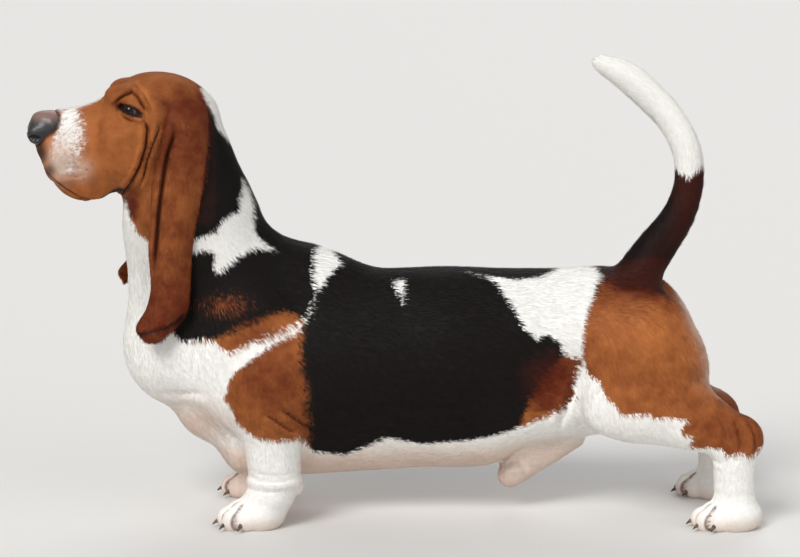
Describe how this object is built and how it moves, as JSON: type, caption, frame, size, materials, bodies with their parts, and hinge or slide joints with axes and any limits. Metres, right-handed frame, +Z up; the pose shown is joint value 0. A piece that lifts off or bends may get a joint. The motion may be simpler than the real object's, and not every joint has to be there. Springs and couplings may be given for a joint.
{
  "type": "basset hound",
  "caption": "Life-size display model of a standing basset hound: long low body, short heavy legs, long hanging ears, raised tail and a smooth tricolour coat.",
  "frame": {"origin": "middle of the bounding box at the level of the soles", "axes": "+Z up; the nose points to -X and the tail to +X; the hound's left side faces -Y, its right side +Y"},
  "size_m": [0.962, 0.2396, 0.6118],
  "materials": {
    "coat_black": "short glossy hair, black",
    "coat_tan": "short glossy hair, mahogany tan",
    "coat_white": "short hair, white",
    "nose": "damp pebbled skin",
    "eye": "wet gloss",
    "claw": "horn, satin"
  },
  "bodies": {
    "root": {"torso": "coat_black", "neck": "coat_black", "head": "coat_tan", "tail": "coat_white", "nose": "nose", "eye_left": "eye", "ear_left": "coat_tan", "foreleg_left": "coat_white", "hindleg_left": "coat_white", "eye_right": "eye", "ear_right": "coat_tan", "foreleg_right": "coat_white", "hindleg_right": "coat_white", "claw_foreleg_left_1": "claw", "claw_foreleg_left_2": "claw", "claw_foreleg_left_3": "claw", "claw_foreleg_left_4": "claw", "claw_hindleg_left_1": "claw", "claw_hindleg_left_2": "claw", "claw_hindleg_left_3": "claw", "claw_hindleg_left_4": "claw", "claw_foreleg_right_1": "claw", "claw_foreleg_right_2": "claw", "claw_foreleg_right_3": "claw", "claw_foreleg_right_4": "claw", "claw_hindleg_right_1": "claw", "claw_hindleg_right_2": "claw", "claw_hindleg_right_3": "claw", "claw_hindleg_right_4": "claw"}
  },
  "joints": []
}
